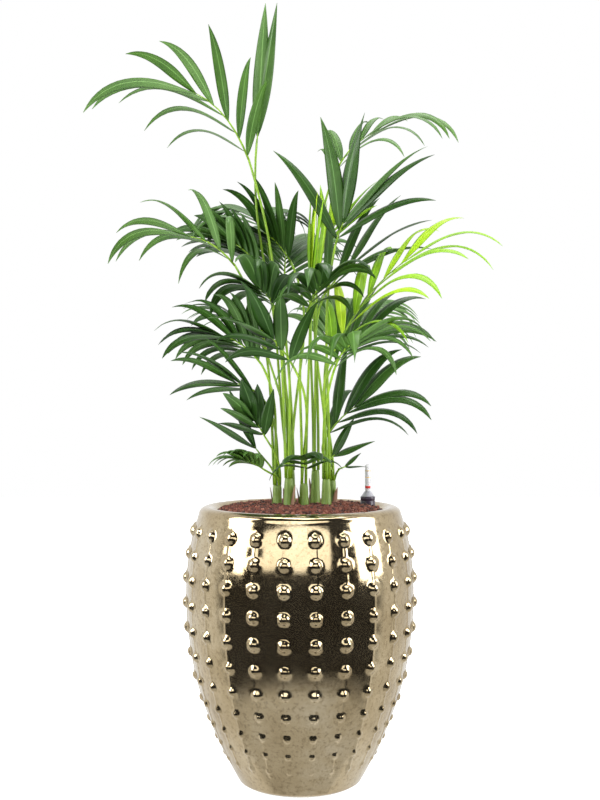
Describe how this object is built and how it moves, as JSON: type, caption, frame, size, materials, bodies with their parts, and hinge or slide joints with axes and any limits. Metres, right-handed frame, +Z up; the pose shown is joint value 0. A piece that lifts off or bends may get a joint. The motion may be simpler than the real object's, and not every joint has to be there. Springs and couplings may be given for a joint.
{
  "type": "potted kentia palm",
  "caption": "Clumping young feather palm with arching fronds, in a tall rounded metallic glazed planter with knobs, topped with clay granules and a water gauge.",
  "frame": {"origin": "centre of the planter's flat underside", "axes": "+Z up along the planter's axis; +Y to the back, so the pictured front faces -Y; +X to the right of that front"},
  "size_m": [0.7428, 0.6057, 1.398],
  "materials": {
    "planter_glaze": "glossy metallic champagne glaze with fine crackle",
    "clay_grains": "matte fired clay grains",
    "gauge_plastic": "satin moulded plastic",
    "gauge_tube": "milky clear plastic",
    "stem_sheath": "fibrous green leaf sheath",
    "petiole": "smooth lime green stalk",
    "leaf": "leathery dark green leaflet, satin",
    "leaf_bright": "young yellow-green leaflet, satin"
  },
  "bodies": {
    "root": {"clay_granulate": "clay_grains", "frond_back_high": "leaf", "frond_back_left": "leaf", "frond_back_right": "leaf", "frond_basal_front": "leaf", "frond_basal_left": "leaf", "frond_bright_right": "leaf_bright", "frond_centre_back": "leaf", "frond_centre_left": "leaf", "frond_crown_left": "leaf", "frond_crown_right": "leaf", "frond_crown_top": "leaf", "frond_front_left": "leaf", "frond_front_middle": "leaf", "frond_front_right": "leaf", "frond_left_broad": "leaf", "frond_left_drooping": "leaf", "frond_left_forked": "leaf", "frond_left_low": "leaf", "frond_left_lower": "leaf", "frond_left_upright": "leaf", "frond_right_arching": "leaf", "frond_right_behind": "leaf_bright", "frond_right_low": "leaf", "frond_right_middle": "leaf", "frond_right_short": "leaf", "frond_right_small": "leaf", "frond_right_upright": "leaf", "frond_spear_left": "leaf_bright", "frond_spear_right": "leaf_bright", "frond_upper_right": "leaf", "gauge_body": "gauge_plastic", "gauge_tube": "gauge_tube", "petiole_back_high": "petiole", "petiole_back_left": "petiole", "petiole_back_right": "petiole", "petiole_bright_right": "petiole", "petiole_centre_back": "petiole", "petiole_centre_left": "petiole", "petiole_crown_left": "petiole", "petiole_crown_right": "petiole", "petiole_front_left": "petiole", "petiole_front_right": "petiole", "petiole_left_drooping": "petiole", "petiole_left_low": "petiole", "petiole_left_lower": "petiole", "petiole_left_upright": "petiole", "petiole_right_arching": "petiole", "petiole_right_low": "petiole", "petiole_right_middle": "petiole", "petiole_right_upright": "petiole", "petiole_upper_right": "petiole", "planter": "planter_glaze", "stem_1": "stem_sheath", "stem_2": "stem_sheath", "stem_3": "stem_sheath", "stem_4": "stem_sheath", "stem_5": "stem_sheath", "stem_6": "stem_sheath", "stem_7": "stem_sheath"}
  },
  "joints": []
}
